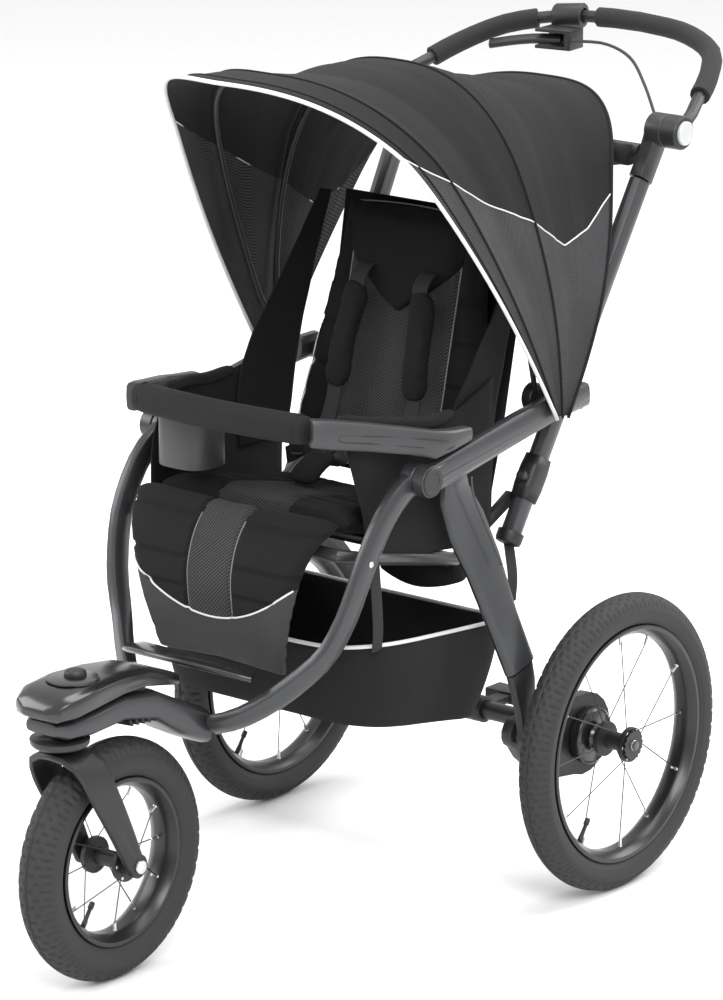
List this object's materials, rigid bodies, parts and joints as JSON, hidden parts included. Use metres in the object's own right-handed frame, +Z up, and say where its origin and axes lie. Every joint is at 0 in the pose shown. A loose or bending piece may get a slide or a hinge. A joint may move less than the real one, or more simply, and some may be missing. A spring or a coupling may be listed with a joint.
{
  "type": "baby stroller",
  "caption": "Three-wheel jogging stroller with swivelling front wheel, folding legs, sprung rear arm, reclining seat, folding canopy and height-adjusting push bar",
  "frame": {"origin": "centre of the footprint, on the floor under the wheels", "axes": "+Z up, -Y towards the front wheel, +X towards the seated child's left"},
  "size_m": [0.6484, 1.2505, 1.1125],
  "materials": {
    "charcoal": "satin metallic charcoal paint",
    "black_plastic": "matte black",
    "gloss_black": "gloss black",
    "grey_plastic": "satin dark grey",
    "fabric": "black woven polyester",
    "rubber": "matte black rubber and foam",
    "foam": "matte black foam",
    "silver": "brushed steel"
  },
  "bodies": {
    "front_wheel": {"front_tyre": "rubber", "front_rim": "black_plastic", "front_hub": "black_plastic"},
    "rear_wheel_left": {"rear_tyre_left": "rubber", "rear_rim_left": "black_plastic", "rear_hub_left": "black_plastic"},
    "rear_wheel_right": {"rear_tyre_right": "rubber", "rear_rim_right": "black_plastic", "rear_hub_right": "black_plastic"},
    "front_frame": {"front_leg_left": "charcoal", "front_leg_right": "charcoal", "hub_arm": "charcoal", "arm_cover": "gloss_black", "swivel_cup": "charcoal", "footrest_bar": "gloss_black"},
    "swivel_lock": {"swivel_lock_knob": "black_plastic"},
    "fork": {"fork": "black_plastic", "front_axle_bolt": "silver"},
    "rear_frame": {"rear_leg_left": "charcoal", "shin_left": "black_plastic", "rear_leg_right": "charcoal", "shin_right": "black_plastic"},
    "suspension": {"rear_swing_arm": "grey_plastic", "brake_drum_left": "gloss_black", "brake_drum_right": "gloss_black"},
    "brake_pedal": {"brake_pedal": "black_plastic"},
    "root": {"handle_tube_left": "charcoal", "handle_head_left": "black_plastic", "handle_tube_right": "charcoal", "handle_head_right": "black_plastic", "upper_crossbar": "black_plastic", "armrest_left": "charcoal", "armrest_right": "charcoal", "seat_frame": "charcoal", "seat_cushion": "fabric", "leg_rest": "fabric", "buckle": "black_plastic", "tray_arm_left": "grey_plastic", "tray_arm_right": "grey_plastic", "tray_bar": "fabric", "cup_well": "grey_plastic", "canopy_rear": "fabric", "basket": "fabric"},
    "seat_back": {"backboard": "black_plastic", "back_cushion": "fabric", "shoulder_pad_left": "fabric", "shoulder_pad_right": "fabric"},
    "buckle_button": {"buckle_button": "grey_plastic"},
    "handle": {"push_bar": "black_plastic", "grip_left": "foam", "grip_right": "foam", "brake_housing": "black_plastic", "brake_cable": "rubber"},
    "handle_button_left": {"handle_button_left": "silver"},
    "handle_button_right": {"handle_button_right": "silver"},
    "brake_lever": {"brake_lever": "black_plastic"},
    "canopy_mid": {"canopy_bow_mid": "black_plastic", "canopy_middle": "fabric"},
    "canopy_front": {"canopy_bow_front": "black_plastic", "canopy_visor": "fabric"}
  },
  "joints": [
    {"name": "frame_fold", "type": "hinge", "parent": "root", "child": "front_frame", "pos_m": [0, -0.1163, 0.612], "axis": [1, 0, 0], "range_deg": [0, 45], "deforming": ["leg_rest", "basket"]},
    {"name": "rear_leg_fold", "type": "hinge", "parent": "root", "child": "rear_frame", "pos_m": [0, -0.0413, 0.61], "axis": [1, 0, 0], "range_deg": [0, 9], "deforming": ["basket"]},
    {"name": "front_swivel", "type": "hinge", "parent": "front_frame", "child": "fork", "pos_m": [0, -0.5583, 0.33], "axis": [0, 0, 1], "continuous": true},
    {"name": "front_wheel_spin", "type": "hinge", "parent": "fork", "child": "front_wheel", "pos_m": [0, -0.4683, 0.157], "axis": [1, 0, 0], "continuous": true},
    {"name": "swivel_lock_turn", "type": "hinge", "parent": "front_frame", "child": "swivel_lock", "pos_m": [0, -0.5283, 0.412], "axis": [0, 0, 1], "range_deg": [0, 90]},
    {"name": "suspension_swing", "type": "hinge", "parent": "rear_frame", "child": "suspension", "pos_m": [0, 0.0627, 0.236], "axis": [1, 0, 0], "range_deg": [0, 7], "stiffness_Nm_per_rad": 90, "springref_deg": -20.05},
    {"name": "rear_wheel_left_spin", "type": "hinge", "parent": "suspension", "child": "rear_wheel_left", "pos_m": [0.294, 0.2057, 0.2], "axis": [1, 0, 0], "continuous": true},
    {"name": "rear_wheel_right_spin", "type": "hinge", "parent": "suspension", "child": "rear_wheel_right", "pos_m": [-0.294, 0.2057, 0.2], "axis": [1, 0, 0], "continuous": true},
    {"name": "brake_pedal_press", "type": "hinge", "parent": "suspension", "child": "brake_pedal", "pos_m": [0, 0.2057, 0.2], "axis": [-1, 0, 0], "range_deg": [0, 25]},
    {"name": "handle_height", "type": "hinge", "parent": "root", "child": "handle", "pos_m": [0, 0.3837, 0.982], "axis": [1, 0, 0], "range_deg": [-60, 15], "deforming": ["brake_cable"]},
    {"name": "handle_button_left_press", "type": "slide", "parent": "handle", "child": "handle_button_left", "axis": [-1, 0, 0], "range_m": [0, 0.003], "stiffness_N_per_m": 400, "springref_m": -0.004},
    {"name": "handle_button_right_press", "type": "slide", "parent": "handle", "child": "handle_button_right", "axis": [1, 0, 0], "range_m": [0, 0.003], "stiffness_N_per_m": 400, "springref_m": -0.004},
    {"name": "brake_lever_squeeze", "type": "hinge", "parent": "handle", "child": "brake_lever", "pos_m": [-0.08, 0.5687, 1.046], "axis": [0, 0.36, -0.933], "range_deg": [0, 5], "stiffness_Nm_per_rad": 0.6, "springref_deg": -17.19},
    {"name": "seat_recline", "type": "hinge", "parent": "root", "child": "seat_back", "pos_m": [0, 0.0787, 0.52], "axis": [-1, 0, 0], "range_deg": [0, 35]},
    {"name": "canopy_fold", "type": "hinge", "parent": "root", "child": "canopy_mid", "pos_m": [0, 0.1337, 0.668], "axis": [-1, 0, 0], "range_deg": [0, 20], "deforming": ["canopy_middle", "canopy_visor", "canopy_rear"]},
    {"name": "canopy_front_fold", "type": "hinge", "parent": "canopy_mid", "child": "canopy_front", "pos_m": [0, 0.1337, 0.668], "axis": [-1, 0, 0], "range_deg": [0, 16], "deforming": ["canopy_middle", "canopy_visor"]},
    {"name": "buckle_button_press", "type": "slide", "parent": "root", "child": "buckle_button", "axis": [0, 1, 0], "range_m": [0, 0.003], "stiffness_N_per_m": 300, "springref_m": -0.004}
  ],
  "couplings": [
    {"joint": "rear_leg_fold", "follows": "frame_fold", "ratio": 0.2},
    {"joint": "canopy_front_fold", "follows": "canopy_fold", "ratio": 0.8}
  ]
}
